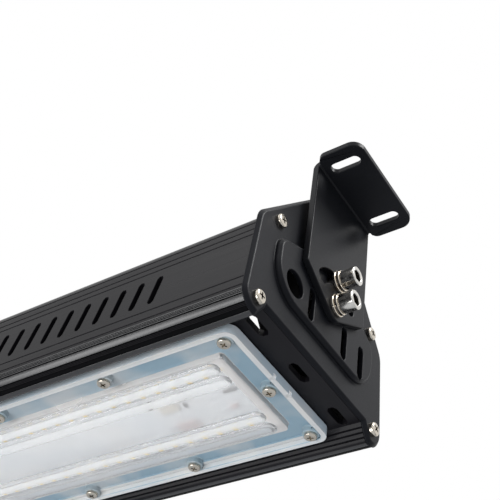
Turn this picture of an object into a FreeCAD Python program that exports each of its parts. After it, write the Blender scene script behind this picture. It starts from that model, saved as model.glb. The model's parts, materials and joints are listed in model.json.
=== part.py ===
"""High bay light: a hollow extruded housing with a lens module under it, closed by two pressed
end plates. An L bracket is bolted to each plate and tilts about its lower bolt, while its upper
bolt runs in an arc slot.

X runs along the housing, Y across it and Z up. The origin is midway along, on the plane that the
two ears of the housing stand on. Lengths are millimetres.
"""

import FreeCAD, Part
import math
import os

import Sketcher

doc = FreeCAD.newDocument("high_bay_light")

# ---------------------------------------------------------------- driving dimensions

DRIVING_SIZES = (
    ("housing_length", 282, "extruded housing, end to end"),
    ("half_width", 53, "widest point of the end plates, from the middle"),
    ("plate_height", 91, "top of an end plate above the ear bottoms"),
    ("ear_height", 7.2, "underside panel above the ear bottoms"),
    ("ear_inner", 38.2, "inner side of an ear at the panel"),
    ("ear_foot", 42.9, "inner edge of an ear's foot"),
    ("wall", 2.4, "wall of the extrusion"),
    ("panel", 3, "thickness of the underside panel"),
    ("wall_top_y", 50.8, "side of an end plate meets its shoulder, across"),
    ("wall_top_z", 50, "side of an end plate meets its shoulder, up"),
    ("top_half_width", 17, "flat top of an end plate, from the middle"),
    ("plate", 2, "end plate sheet"),
    ("plate_lip", 0.5, "end plate stands out past the walls by this"),
    ("shoulder_step", 2.5, "and past the shoulders and the top by this much more"),
    ("plate_bevel", 1.4, "bevel round the front of an end plate"),
    ("boss", 2.6, "raised boss of the end plate"),
    ("vent_pitch", 9.6, "pitch of the side vents"),
    ("vent_count", 21, "vents in each side wall"),
    ("vent_width", 3.1, "width of a side vent"),
    ("vent_bottom", 16.4, "lower end of a side vent"),
    ("vent_top", 31.8, "upper end of a side vent"),
    ("vent_slant", 2.4, "a side vent leans along X by this"),
    ("shoulder_vent_length", 15, "vents in the shoulders"),
    ("shoulder_vent_width", 5, "vents in the shoulders"),
    ("shoulder_vent_y", 27, "vents in the shoulders, from the middle"),
    ("panel_slot_length", 13, "slots in the underside panel"),
    ("panel_slot_width", 4.4, "slots in the underside panel"),
    ("panel_slot_x", 134, "slots in the underside panel, along X"),
    ("panel_slot_y", 31, "outer slots in the underside panel, from the middle"),
    ("port_wall", 7.2, "tube round an upper screw port"),
    ("lead_way", 9, "hole in the panel for the LED leads"),
    ("bracket_sheet", 3, "bracket sheet"),
    ("bracket_half_width", 23.4, "upright leg of the bracket"),
    ("flange_half_width", 27.1, "flange of the bracket"),
    ("flange_underside", 104, "underside of the flange"),
    ("flange_reach", 25, "flange end from the back of the leg"),
    ("bracket_kink", 44.3, "where the leg starts to narrow"),
    ("bracket_tip", 6.9, "foot of the leg, round the pivot"),
    ("pivot_height", 37.6, "axis of the pivot bolt"),
    ("slot_radius", 13.6, "slot bolt from the pivot bolt"),
    ("slot_half_angle", 55, "centre line of the arc slot, each way"),
    ("bolt_shank", 6, "bolt shank diameter"),
    ("bolt_clear", 6.6, "bolt hole and slot width"),
    ("bolt_head", 8.6, "bolt head diameter"),
    ("bolt_head_height", 6.8, "bolt head height"),
    ("bolt_socket", 5, "hexagon socket across flats"),
    ("bolt_length", 15, "bolt shank"),
    ("nut", 10, "nut across flats"),
    ("nut_thread", 6.1, "nut thread"),
    ("nut_height", 5, "nut height"),
    ("flat_washer", 1.4, "flat washer thickness"),
    ("flat_washer_out", 10, "flat washer outer diameter"),
    ("spring_washer", 1.6, "spring washer thickness"),
    ("spring_washer_out", 9.4, "spring washer outer diameter"),
    ("washer_bore", 6.4, "inner diameter of both washers"),
    ("lens_half_width", 38.2, "lens cover, from the middle"),
    ("lens_half_length", 127.2, "lens cover, from the middle"),
    ("lens_flange", 5.2, "underside of the lens flange"),
    ("lens_top", 6.7, "upper face of the lens flange, on the gasket"),
    ("lens_rim", 2, "lower edge of the lens rim"),
    ("window_half_width", 25.8, "raised window of the lens cover"),
    ("window_half_length", 114.5, "raised window of the lens cover"),
    ("window_face", 2.4, "lower face of the raised window"),
    ("screw_row", 32.6, "lens screws, from the middle"),
    ("screw_pitch", 60.3, "lens screws along X"),
    ("led_row", 17, "row of LED chips, from the middle"),
    ("led_pitch", 8, "pitch of the LED chips"),
    ("led_count", 28, "LED chips in a row"),
    ("board", 1.6, "LED board thickness"),
    ("driver_length", 124, "driver case along X"),
    ("driver_width", 54, "driver case across"),
    ("driver_height", 30, "driver case, lid included"),
    ("driver_lid", 1.6, "lid of the driver case"),
    ("driver_lug", 2, "fixing lugs of the driver case"),
    ("block_height", 14, "terminal block"),
    ("block_seat", 4, "seat of the terminal block's screws"),
    ("cable_hole", 12.2, "cable hole in each end plate"),
    ("cable_hole_y", -25.9, "cable hole across"),
    ("cable_hole_z", 29.1, "cable hole up"),
    ("plate_slot_length", 17.3, "vent slots of an end plate"),
    ("plate_slot_width", 4.3, "vent slots of an end plate"),
    ("plate_slot_z", 29.1, "middle of the plate's vent slots"),
    ("flange_slot_length", 14.4, "fixing slot in a flange, overall"),
    ("flange_slot_width", 5.2, "fixing slot in a flange"),
    ("flange_slot_y", 18.3, "fixing slot from the middle"),
    ("flange_slot_out", 13.8, "fixing slot from the back of the leg"),
    ("screw_shank", 2.9, "small screws"),
    ("screw_thread", 3.1, "threaded holes for the small screws"),
    ("screw_clear", 3.6, "clearance holes for the small screws"),
    ("plate_screw_head", 6.1, "head of an end plate screw"),
    ("plate_screw_height", 2.1, "height of that head"),
    ("plate_screw_length", 14, "shank of an end plate screw"),
    ("lens_screw_head", 6, "head of a lens screw"),
    ("lens_screw_low", 1, "lower face of that head"),
    ("lens_screw_seat", 2.6, "seat of that head on its boss"),
    ("lens_screw_length", 7.2, "shank of a lens screw"),
    ("lens_boss", 7.4, "boss round a lens screw"),
    ("lens_rim_wall", 2.4, "wall of the lens rim"),
)

sizes = doc.addObject("Spreadsheet::Sheet", "sizes")
for row, (alias, value, note) in enumerate(DRIVING_SIZES, 1):
    sizes.set(f"A{row}", alias)
    sizes.set(f"B{row}", str(value))
    sizes.setAlias(f"B{row}", alias)
    sizes.set(f"C{row}", note)
doc.recompute()


def size(alias):
    """Value of a driving dimension."""
    return float(sizes.get(alias))


PLATE_BACK = "sizes.housing_length / 2"
PLATE_FRONT = PLATE_BACK + " + sizes.plate"
BOSS_FRONT = PLATE_FRONT + " + sizes.boss"
PANEL_TOP = "sizes.ear_height + sizes.panel"
BOLT_HEIGHTS = (size("pivot_height"), size("pivot_height") + size("slot_radius"))
PORTS = ((38.2, 54.6), (44.6, 6.9))
PORT_PLACES = [(side * y, z) for y, z in PORTS for side in (1, -1)]
DRIVER_SCREWS = [(x, y) for x in (-68, 68) for y in (-18, 18)]
BLOCK_X = 95
BLOCK_SCREWS = [(BLOCK_X, y) for y in (-9, 9)]
PLATE_SLOT_ROWS = (-13, 13.3, 27.4)
WIRE_ROWS = (-12, 0, 12)
LEAD_HOLE_X = -100
HOLE_SIDES = 6  # small holes and shanks are prisms, because there are many of them
HEAD_SIDES = 12  # and so are small heads and washers
BOLT_SIDES = 20
EAR_RADIUS = 8
SHOULDER_RADIUS = 11
FINE_GROOVE, WIDE_GROOVE, DEEP_GROOVE = (0.25, 0.4), (0.45, 0.5), (0.35, 0.9)  # half width, depth
WALL_GROOVES = (8.3, 12.7, 36.1, 39.3, 43)  # heights
EAR_GROOVES = (  # degrees below level, round the outside of an ear
    (12, FINE_GROOVE), (16.5, FINE_GROOVE), (21, FINE_GROOVE), (27, WIDE_GROOVE), (51, DEEP_GROOVE),
    (55.5, FINE_GROOVE), (59.5, FINE_GROOVE), (63.5, FINE_GROOVE), (78, FINE_GROOVE),
)
INNER_GROOVES = (1.8, 3.6, 5.4)  # heights, on the inner slope of an ear
NODES = []

# ---------------------------------------------------------------- sketch and feature helpers


def rounded(corners):
    """Lines and arcs of a closed outline whose corners are (u, v) or (u, v, radius)."""
    points = [FreeCAD.Vector(c[0], c[1], 0) for c in corners]
    radii = [c[2] if len(c) > 2 else 0 for c in corners]
    stations = []
    for i, point in enumerate(points):
        before = (points[i - 1] - point).normalize()
        after = (points[(i + 1) % len(points)] - point).normalize()
        if not radii[i]:
            stations.append((point, None, point))
            continue
        half_angle = before.getAngle(after) / 2
        reach = radii[i] / math.tan(half_angle)
        bisector = (before + after).normalize()
        middle = point + bisector * (radii[i] / math.sin(half_angle) - radii[i])
        stations.append((point + before * reach, middle, point + after * reach))
    edges = []
    for i, (start, middle, end) in enumerate(stations):
        if middle:
            edges.append(Part.Arc(start, middle, end))
        following = stations[(i + 1) % len(stations)][0]
        if end.distanceToPoint(following) > 1e-6:
            edges.append(Part.LineSegment(end, following))
    return edges


def obround(u, v, length, width):
    """Slot outline along u with round ends."""
    reach, radius = (length - width) / 2, width / 2
    right, left = FreeCAD.Vector(u + reach, v, 0), FreeCAD.Vector(u - reach, v, 0)
    side, tip = FreeCAD.Vector(0, radius, 0), FreeCAD.Vector(radius, 0, 0)
    return [
        Part.LineSegment(left + side, right + side),
        Part.Arc(right + side, right + tip, right - side),
        Part.LineSegment(right - side, left - side),
        Part.Arc(left - side, left - tip, left + side),
    ]


def faceted_slot(u, v, length, width, angle, flats=3):
    """Slot outline whose round ends are a few flats, for cuts that repeat many times."""
    along = FreeCAD.Vector(math.cos(math.radians(angle)), math.sin(math.radians(angle)), 0)
    across = FreeCAD.Vector(-along.y, along.x, 0)
    reach, radius = (length - width) / 2, width / 2
    corners = []
    for end in (1, -1):
        for i in range(flats + 1):
            swing = math.radians(180 * i / flats - 90)
            corner = along * (reach + radius * math.cos(swing)) + across * (radius * math.sin(swing))
            corners.append((u + end * corner.x, v + end * corner.y))
    return rounded(corners)


def circle(u, v, diameter):
    return [Part.Circle(FreeCAD.Vector(u, v, 0), FreeCAD.Vector(0, 0, 1), diameter / 2)]


def polygon(u, v, diameter, sides):
    """Regular outline with its corners on a circle."""
    turns = [2 * math.pi * i / sides for i in range(sides)]
    return rounded([(u + diameter / 2 * math.sin(t), v + diameter / 2 * math.cos(t)) for t in turns])


def hexagon(u, v, across_flats):
    return polygon(u, v, across_flats / math.cos(math.radians(30)), 6)


def holes(places, diameter, sides=HOLE_SIDES):
    """Small holes, shanks or heads at several places of one sketch."""
    return [polygon(u, v, diameter, sides) for u, v in places]


def box_outline(half_u, half_v, radius=0, u=0, v=0):
    signs = ((1, 1), (-1, 1), (-1, -1), (1, -1))
    return rounded([(u + a * half_u, v + b * half_v, radius) for a, b in signs])


def mirrored(half_outline):
    """Full outline from the corners of its +u half, listed from low to high."""
    return half_outline + [(-c[0], *c[1:]) for c in reversed(half_outline)]


def new_body(name):
    body = doc.addObject("PartDesign::Body", name)
    body.Label = name
    body.AllowCompound = True
    NODES.append(body)
    return body


def origin_feature(body, role):
    return next(f for f in body.Origin.OriginFeatures if f.Role == role)


def new_sketch(body, role, outlines, offset="0"):
    """Sketch of closed outlines on a plane of the body's origin, moved off it by an expression."""
    sketch = body.newObject("Sketcher::SketchObject", "outline")
    sketch.AttachmentSupport = (origin_feature(body, role), [""])
    sketch.MapMode = "FlatFace"
    sketch.setExpression(".AttachmentOffset.Base.z", offset)
    for outline in outlines:
        sketch.addGeometry(outline, False)
    return sketch


def pad(body, sketch, length, symmetric=False, reverse=False):
    feature = body.newObject("PartDesign::Pad", "pad")
    feature.Profile = sketch
    feature.setExpression("Length", length)
    feature.SideType = "Symmetric" if symmetric else "One side"
    feature.Reversed = reverse
    sketch.Visibility = False
    return feature


def pocket(body, sketch, length=None, symmetric=False, reverse=False):
    """Cut of a given depth, or through everything when the depth is left out."""
    feature = body.newObject("PartDesign::Pocket", "pocket")
    feature.Profile = sketch
    feature.SideType = "Symmetric" if symmetric else "One side"
    feature.Reversed = reverse
    if length is None:
        feature.Type = "ThroughAll"
    else:
        feature.setExpression("Length", length)
    return feature


def linear_pattern(body, feature, role, pitch, count):
    """Copies of a feature along an axis of the body's origin, spaced by a pitch."""
    pattern = body.newObject("PartDesign::LinearPattern", "pattern")
    pattern.Originals = [feature]
    pattern.Direction = (origin_feature(body, role), [""])
    pattern.setExpression("Occurrences", count)
    pattern.setExpression("Length", f"({pitch}) * (({count}) - 1)")
    body.Tip = pattern
    return pattern


def mirror_whole(body, role):
    """Second half of a body that is the same on both sides of a plane of its origin."""
    copy = body.newObject("PartDesign::Mirrored", "mirror")
    copy.TransformMode = "Whole shape"
    copy.MirrorPlane = (origin_feature(body, role), [""])
    body.Tip = copy
    return copy


def edges_at(axis, value):
    """Test for the edges whose ends all lie at one X, Y or Z."""
    def test(edge):
        return all(abs(getattr(vertex, axis) - value) < 0.01 for vertex in edge.Vertexes)

    return test


def bevel_edges(body, base, amount, choose):
    """Chamfer on the edges of the base feature that the test picks."""
    doc.recompute()
    names = [f"Edge{i}" for i, edge in enumerate(base.Shape.Edges, 1) if choose(edge)]
    chamfer = body.newObject("PartDesign::Chamfer", "chamfer")
    chamfer.Base = (base, names)
    chamfer.setExpression("Size", str(amount))
    return chamfer


def place_at_end(body, facing, distance, height="0"):
    """Put a body at the right (+1) or left (-1) end, turned to face outwards."""
    if facing < 0:
        body.Placement = FreeCAD.Placement(FreeCAD.Vector(), FreeCAD.Rotation(180, 0, 0))
    body.setExpression("Placement.Base.x", f"{facing} * ({distance})")
    body.setExpression("Placement.Base.z", height)


# ---------------------------------------------------------------- housing


def wall_y(z, inset):
    """Side wall at a height, set in behind the outline of the end plates."""
    lean = (size("half_width") - size("wall_top_y")) / size("wall_top_z")
    return size("half_width") - inset - lean * z


def upper_corners(wall_inset, shoulder_inset):
    """Corners at the wall top and at the flat top, for walls and shoulders set in by these."""
    across, up = size("wall_top_y"), size("wall_top_z")
    angle = math.atan2(size("plate_height") - up, across - size("top_half_width"))
    sine, cosine = math.sin(angle), math.cos(angle)
    lean = wall_y(0, wall_inset) - wall_y(1, wall_inset)
    start = up * cosine - shoulder_inset - (wall_y(0, wall_inset) - across) * sine
    wall_top = start / (cosine - lean * sine)
    crest = size("plate_height") - shoulder_inset
    crest_y = across - (shoulder_inset + (crest - up) * cosine) / sine
    return (wall_y(wall_top, wall_inset), wall_top), (crest_y, crest)


def section_corners(wall_inset, shoulder_inset):
    """Outer section of the end plates, or of the housing that is set in behind them."""
    wall_top, crest = upper_corners(wall_inset, shoulder_inset)
    return mirrored([
        (size("ear_inner"), size("ear_height")),
        (size("ear_foot"), 0, 2),
        (size("half_width") - wall_inset, 0, EAR_RADIUS),
        (*wall_top, SHOULDER_RADIUS - shoulder_inset),
        (*crest, 3),
    ])


def cavity_corners():
    """Inside of the extrusion: over the panel, behind the walls and under the shoulders."""
    wall_inset = size("plate_lip") + size("wall")
    shoulder_inset = wall_inset + size("shoulder_step")
    wall_top, crest = upper_corners(wall_inset, shoulder_inset)
    floor = size("ear_height") + size("panel")
    ear_top = floor + 3
    return mirrored([
        (size("ear_foot") - size("wall"), floor),
        (size("ear_foot"), ear_top),
        (wall_y(ear_top, wall_inset), ear_top, 1),
        (*wall_top, SHOULDER_RADIUS - shoulder_inset),
        (*crest, 1.5),
    ])


def groove(y, z, turn, kind):
    """V outlines on both sides of the section, on its skin at (y, z), which faces along turn."""
    half_width, depth = kind
    outward = FreeCAD.Vector(math.cos(turn), math.sin(turn), 0)
    along = FreeCAD.Vector(-outward.y, outward.x, 0) * half_width
    skin = FreeCAD.Vector(y, z, 0)
    mouth = skin + outward * 0.2
    corners = (mouth - along, mouth + along, skin - outward * depth)
    return [rounded([(side * c.x, c.y) for c in corners]) for side in (1, -1)]


def grooves():
    """Grooves along the side walls, round the ears and on the inner slopes of the ears."""
    inset = size("plate_lip")
    outlines = []
    for z in WALL_GROOVES:
        outlines += groove(wall_y(z, inset), z, 0, WIDE_GROOVE)
    middle = wall_y(EAR_RADIUS, inset) - EAR_RADIUS
    for degrees, kind in EAR_GROOVES:
        turn = math.radians(-degrees)
        y, z = middle + EAR_RADIUS * math.cos(turn), EAR_RADIUS * (1 + math.sin(turn))
        outlines += groove(y, z, turn, kind)
    spread, rise = size("ear_foot") - size("ear_inner"), size("ear_height")
    for z in INNER_GROOVES:
        y = size("ear_foot") - spread * z / rise
        outlines += groove(y, z, math.atan2(-spread, -rise), WIDE_GROOVE)
    return outlines


def housing():
    """Extruded shell: grooved walls, screw ports, slanted side vents, shoulder vents, panel holes."""
    body = new_body("housing")
    lip, step = size("plate_lip"), size("shoulder_step")
    section = [rounded(section_corners(lip, lip + step)), rounded(cavity_corners())]
    profile = new_sketch(body, "YZ_Plane", section)
    pad(body, profile, "sizes.housing_length", symmetric=True)
    port_walls = holes(PORT_PLACES[:2], size("port_wall"), HEAD_SIDES)
    pad(body, new_sketch(body, "YZ_Plane", port_walls), "sizes.housing_length", symmetric=True)
    port_threads = holes(PORT_PLACES, size("screw_thread"))
    pocket(body, new_sketch(body, "YZ_Plane", port_threads + grooves()), symmetric=True)

    rise = size("vent_top") - size("vent_bottom")
    slant = math.degrees(math.atan2(rise, size("vent_slant")))
    first_vent = -size("vent_pitch") * (size("vent_count") - 1) / 2
    middle = (size("vent_top") + size("vent_bottom")) / 2
    side_vent = faceted_slot(first_vent, middle, rise, size("vent_width"), slant)
    side_vents = pocket(body, new_sketch(body, "XZ_Plane", [side_vent]), symmetric=True)
    linear_pattern(body, side_vents, "X_Axis", "sizes.vent_pitch", "sizes.vent_count")

    first_upper = first_vent + size("vent_pitch")
    length, width, row = (size("shoulder_vent_" + part) for part in ("length", "width", "y"))
    pair = [faceted_slot(first_upper, side * row, length, width, 90) for side in (1, -1)]
    above_walls = new_sketch(body, "XY_Plane", pair, "sizes.wall_top_z + 7")
    upper_vents = pocket(body, above_walls, reverse=True)
    linear_pattern(body, upper_vents, "X_Axis", "2 * sizes.vent_pitch", "(sizes.vent_count - 1) / 2")

    length, width, x, row = (size("panel_slot_" + part) for part in ("length", "width", "x", "y"))
    slots = [faceted_slot(end * x, y, length, width, 90) for end in (1, -1) for y in (-row, 0, row)]
    threads = holes(lens_screw_places() + DRIVER_SCREWS + BLOCK_SCREWS, size("screw_thread"))
    lead_way = holes([(LEAD_HOLE_X, 0)], size("lead_way"), HEAD_SIDES)
    through_panel = new_sketch(body, "XY_Plane", slots + threads + lead_way, "sizes.ear_height - 1")
    pocket(body, through_panel, "sizes.panel + 1.5", reverse=True)
    return body


# ---------------------------------------------------------------- end plates and their screws


def end_plate(name, facing):
    """Pressed plate: its back lies on the end of the housing, its boss is hollow behind."""
    body = new_body(name)
    sheet = new_sketch(body, "YZ_Plane", [rounded(section_corners(0, 0))])
    pad(body, sheet, "sizes.plate")

    boss_corners = mirrored([(38.4, 18.5, 16), (38.4, 45.7, 8.5)])
    boss_corners.insert(2, (0, 63.4, 12))
    boss = pad(body, new_sketch(body, "YZ_Plane", [rounded(boss_corners)]), "sizes.plate + sizes.boss")
    bevel_edges(body, boss, 1.4, edges_at("X", size("plate") + size("boss")))
    hollow_corners = mirrored([(36.8, 20.1, 14.4), (36.8, 44.8, 7)])
    hollow_corners.insert(2, (0, 61.6, 10))
    hollow = new_sketch(body, "YZ_Plane", [rounded(hollow_corners)])
    pocket(body, hollow, "sizes.boss", reverse=True)

    cable_hole = [circle(size("cable_hole_y"), size("cable_hole_z"), size("cable_hole"))]
    length, width, height = (size("plate_slot_" + part) for part in ("length", "width", "z"))
    slots = [faceted_slot(y, height, length, width, 90) for y in PLATE_SLOT_ROWS]
    bolts = holes([(0, z) for z in BOLT_HEIGHTS], size("bolt_clear"), HEAD_SIDES)
    screws = holes(PORT_PLACES, size("screw_clear"))
    cuts = pocket(body, new_sketch(body, "YZ_Plane", cable_hole + slots + bolts + screws), symmetric=True)
    bevel_edges(body, cuts, "sizes.plate_bevel", on_plate_outline)
    place_at_end(body, facing, PLATE_BACK)
    return body


def on_plate_outline(edge):
    """Test for the front edges of the plate's own outline, away from the boss and the holes."""
    middle = edge.valueAt((edge.FirstParameter + edge.LastParameter) / 2)
    across, up = abs(middle.y), middle.z
    near_hole = any(math.hypot(across - y, up - z) < size("screw_clear") for y, z in PORTS)
    on_boss = across < 40 and 15 < up < 66
    return edges_at("X", size("plate"))(edge) and not near_hole and not on_boss


def end_plate_screws():
    body = new_body("end_plate_screws")
    outlines = holes(PORT_PLACES, size("plate_screw_head"), HEAD_SIDES)
    pad(body, new_sketch(body, "YZ_Plane", outlines, PLATE_FRONT), "sizes.plate_screw_height")
    shanks = new_sketch(body, "YZ_Plane", holes(PORT_PLACES, size("screw_shank")), PLATE_FRONT)
    pad(body, shanks, "sizes.plate_screw_length", reverse=True)
    mirror_whole(body, "YZ_Plane")
    return body


# ---------------------------------------------------------------- brackets and their bolts


def bracket(name, facing):
    """L bracket, its back on the boss: a leg that narrows to the pivot, and a wider flange."""
    body = new_body(name)
    sheet, underside, reach = size("bracket_sheet"), size("flange_underside"), size("flange_reach")
    fold = rounded([
        (0, 20), (sheet, 20), (sheet, underside, 1), (reach, underside),
        (reach, underside + sheet), (0, underside + sheet, sheet + 1),
    ])
    pad(body, new_sketch(body, "XZ_Plane", [fold]), "2 * sizes.flange_half_width", symmetric=True)

    leg, flange = size("bracket_half_width"), size("flange_half_width")
    neck = sheet + 0.8
    outline = [(-1, leg), (neck, leg), (neck, flange, 3.5), (reach, flange, 6)]
    outline += [(x, -y, *r) for x, y, *r in reversed(outline)]
    surround = box_outline(reach, 2 * flange)
    pocket(body, new_sketch(body, "XY_Plane", [surround, rounded(outline)]), symmetric=True)

    pivot, kink, tip = size("pivot_height"), size("bracket_kink"), size("bracket_tip")
    to_pivot = math.hypot(leg, kink - pivot)
    slope = math.atan2(kink - pivot, leg) + math.asin(tip / to_pivot)
    point = (0, kink - leg * math.tan(slope), tip)
    clear = 2 * leg
    below = [(clear, 10), (clear, kink), (leg, kink), point, (-leg, kink), (-clear, kink), (-clear, 10)]
    pocket(body, new_sketch(body, "YZ_Plane", [rounded(below)]), symmetric=True)

    bolt_ways = [circle(0, pivot, size("bolt_clear")), arc_slot()]
    pocket(body, new_sketch(body, "YZ_Plane", bolt_ways), symmetric=True)
    length, width, offset = (size("flange_slot_" + part) for part in ("length", "width", "y"))
    out = size("flange_slot_out")
    fixing_slots = [obround(out, side * offset, length, width) for side in (1, -1)]
    pocket(body, new_sketch(body, "XY_Plane", fixing_slots), symmetric=True)
    place_at_end(body, facing, BOSS_FRONT)
    return body


def arc_slot():
    """Slot about the pivot, its ends rounded, for the bolt above the pivot bolt."""
    radius, half_width = size("slot_radius"), size("bolt_clear") / 2
    half_angle = size("slot_half_angle")

    def at(distance, degrees):
        turn = math.radians(degrees)
        across, up = distance * math.sin(turn), distance * math.cos(turn)
        return FreeCAD.Vector(across, size("pivot_height") + up, 0)

    inner, outer = radius - half_width, radius + half_width
    past_end = half_angle + math.degrees(half_width / radius)
    return [
        Part.Arc(at(outer, -half_angle), at(outer, 0), at(outer, half_angle)),
        Part.Arc(at(outer, half_angle), at(radius, past_end), at(inner, half_angle)),
        Part.Arc(at(inner, half_angle), at(inner, 0), at(inner, -half_angle)),
        Part.Arc(at(inner, -half_angle), at(radius, -past_end), at(outer, -half_angle)),
    ]


def socket_bolt(name, facing, height):
    """Socket-head bolt, the underside of its head on the spring washer."""
    body = new_body(name)
    head = new_sketch(body, "YZ_Plane", [polygon(0, 0, size("bolt_head"), BOLT_SIDES)])
    cylinder = pad(body, head, "sizes.bolt_head_height")
    bevel_edges(body, cylinder, 0.5, edges_at("X", size("bolt_head_height")))
    socket = new_sketch(body, "YZ_Plane", [hexagon(0, 0, size("bolt_socket"))], "sizes.bolt_head_height")
    pocket(body, socket, "sizes.bolt_head_height / 2")
    shank = new_sketch(body, "YZ_Plane", [polygon(0, 0, size("bolt_shank"), HEAD_SIDES)])
    pad(body, shank, "sizes.bolt_length", reverse=True)
    stack = " + sizes.bracket_sheet + sizes.flat_washer + sizes.spring_washer"
    place_at_end(body, facing, BOSS_FRONT + stack, height)
    return body


def flat_washers():
    body = new_body("flat_washers")
    diameters = size("flat_washer_out"), size("washer_bore")
    rings = [polygon(0, z, d, HEAD_SIDES) for z in BOLT_HEIGHTS for d in diameters]
    face = BOSS_FRONT + " + sizes.bracket_sheet"
    pad(body, new_sketch(body, "YZ_Plane", rings, face), "sizes.flat_washer")
    mirror_whole(body, "YZ_Plane")
    return body


def spring_washers():
    """Open rings, split at the lower side."""
    body = new_body("spring_washers")
    first, last, flats = -33, 313, 11
    turns = [math.radians(first + (last - first) * i / flats) for i in range(flats + 1)]
    radii = size("spring_washer_out") / 2, size("washer_bore") / 2
    rings = []
    for z in BOLT_HEIGHTS:
        outer, inner = ([(r * math.cos(t), z + r * math.sin(t)) for t in turns] for r in radii)
        rings.append(rounded(outer + inner[::-1]))
    face = BOSS_FRONT + " + sizes.bracket_sheet + sizes.flat_washer"
    pad(body, new_sketch(body, "YZ_Plane", rings, face), "sizes.spring_washer")
    mirror_whole(body, "YZ_Plane")
    return body


def bolt_nuts():
    """Hex nuts in the hollow of each boss, against its inner face."""
    body = new_body("bolt_nuts")
    outlines = [hexagon(0, z, size("nut")) for z in BOLT_HEIGHTS]
    outlines += [polygon(0, z, size("nut_thread"), HEAD_SIDES) for z in BOLT_HEIGHTS]
    inner_face = PLATE_BACK + " + sizes.boss"
    pad(body, new_sketch(body, "YZ_Plane", outlines, inner_face), "sizes.nut_height", reverse=True)
    mirror_whole(body, "YZ_Plane")
    return body


# ---------------------------------------------------------------- lens module


def lens_screw_places():
    """Two long rows of screws, and one in the middle of each end."""
    pitch, row = size("screw_pitch"), size("screw_row")
    sides = [(i * pitch, side * row) for side in (1, -1) for i in (-2, -1, 0, 1, 2)]
    return sides + [(-2 * pitch, 0), (2 * pitch, 0)]


def lens_cover():
    """Clear moulding: a flange with a deep rim, screw bosses and a raised window with optic bars."""
    body = new_body("lens_cover")
    half_length, half_width = size("lens_half_length"), size("lens_half_width")
    window = size("window_half_length"), size("window_half_width")
    skin, rim_wall = 1.4, size("lens_rim_wall")
    cavity = box_outline(window[0] - skin, window[1] - skin)
    outer = box_outline(half_length, half_width, 5)
    flange = new_sketch(body, "XY_Plane", [outer, cavity], "sizes.lens_flange")
    pad(body, flange, "sizes.lens_top - sizes.lens_flange")
    inner = box_outline(half_length - rim_wall, half_width - rim_wall, 2)
    rim = new_sketch(body, "XY_Plane", [outer, inner], "sizes.lens_rim")
    pad(body, rim, "sizes.lens_flange - sizes.lens_rim")
    walls = new_sketch(body, "XY_Plane", [box_outline(*window, 2), cavity], "sizes.window_face")
    pad(body, walls, "sizes.lens_flange - sizes.window_face")
    face = new_sketch(body, "XY_Plane", [box_outline(*window, 2)], "sizes.window_face")
    pad(body, face, "1.2")
    bosses = holes(lens_screw_places(), size("lens_boss"), HEAD_SIDES)
    seats = new_sketch(body, "XY_Plane", bosses, "sizes.lens_screw_seat")
    pad(body, seats, "sizes.lens_flange - sizes.lens_screw_seat")
    bars = [faceted_slot(0, side * y, 2 * window[0] - 8, 7.6, 0) for y in (13, 21) for side in (1, -1)]
    low, depth = size("window_face") - 1.5, 1.1
    optics = pad(body, new_sketch(body, "XY_Plane", bars, str(low)), f"sizes.window_face - {low}")
    bevel_edges(body, optics, depth, edges_at("Z", low))
    clearances = holes(lens_screw_places(), size("screw_clear"))
    pocket(body, new_sketch(body, "XY_Plane", clearances), symmetric=True)
    nicks = [box_outline(rim_wall, 0.9, 0, end * half_length, y) for end in (1, -1) for y in (-6.4, 5.4)]
    across_rim = new_sketch(body, "XY_Plane", nicks, "sizes.lens_rim")
    pocket(body, across_rim, "sizes.lens_flange - sizes.lens_rim", reverse=True)
    return body


def lens_gasket():
    body = new_body("lens_gasket")
    outer = box_outline(size("lens_half_length") - 1, size("lens_half_width") - 1, 4)
    inner = box_outline(size("window_half_length") + 1, size("window_half_width") + 1)
    clearances = holes(lens_screw_places(), size("screw_clear"))
    seal = new_sketch(body, "XY_Plane", [outer, inner] + clearances, "sizes.lens_top")
    pad(body, seal, "sizes.ear_height - sizes.lens_top")
    return body


def lens_screws():
    body = new_body("lens_screws")
    places = lens_screw_places()
    outlines = holes(places, size("lens_screw_head"), HEAD_SIDES)
    heads = new_sketch(body, "XY_Plane", outlines, "sizes.lens_screw_low")
    pad(body, heads, "sizes.lens_screw_seat - sizes.lens_screw_low")
    shanks = new_sketch(body, "XY_Plane", holes(places, size("screw_shank")), "sizes.lens_screw_seat")
    pad(body, shanks, "sizes.lens_screw_length")
    return body


def led_board():
    body = new_body("led_board")
    sheet = box_outline(size("window_half_length") - 3, size("window_half_width") - 2.6)
    pad(body, new_sketch(body, "XY_Plane", [sheet], "sizes.ear_height - sizes.board"), "sizes.board")
    return body


def led_chips():
    body = new_body("led_chips")
    chip, thickness = 3, 0.7
    first = -size("led_pitch") * (size("led_count") - 1) / 2
    pair = [box_outline(chip / 2, chip / 2, 0, first, side * size("led_row")) for side in (1, -1)]
    under = new_sketch(body, "XY_Plane", pair, f"sizes.ear_height - sizes.board - {thickness}")
    chips = pad(body, under, str(thickness))
    linear_pattern(body, chips, "X_Axis", "sizes.led_pitch", "sizes.led_count")
    return body


# ---------------------------------------------------------------- driver and wiring


def driver_case():
    """Potted power supply: a closed case with a fixing lug at each end."""
    body = new_body("driver_case")
    half_length, half_width = size("driver_length") / 2, size("driver_width") / 2
    lugs = box_outline(half_length + 12, half_width - 3)
    pad(body, new_sketch(body, "XY_Plane", [lugs], PANEL_TOP), "sizes.driver_lug")
    case = new_sketch(body, "XY_Plane", [box_outline(half_length, half_width)], PANEL_TOP)
    pad(body, case, "sizes.driver_height - sizes.driver_lid")
    clearances = holes(DRIVER_SCREWS, size("screw_clear"))
    pocket(body, new_sketch(body, "XY_Plane", clearances), symmetric=True)
    return body


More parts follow.
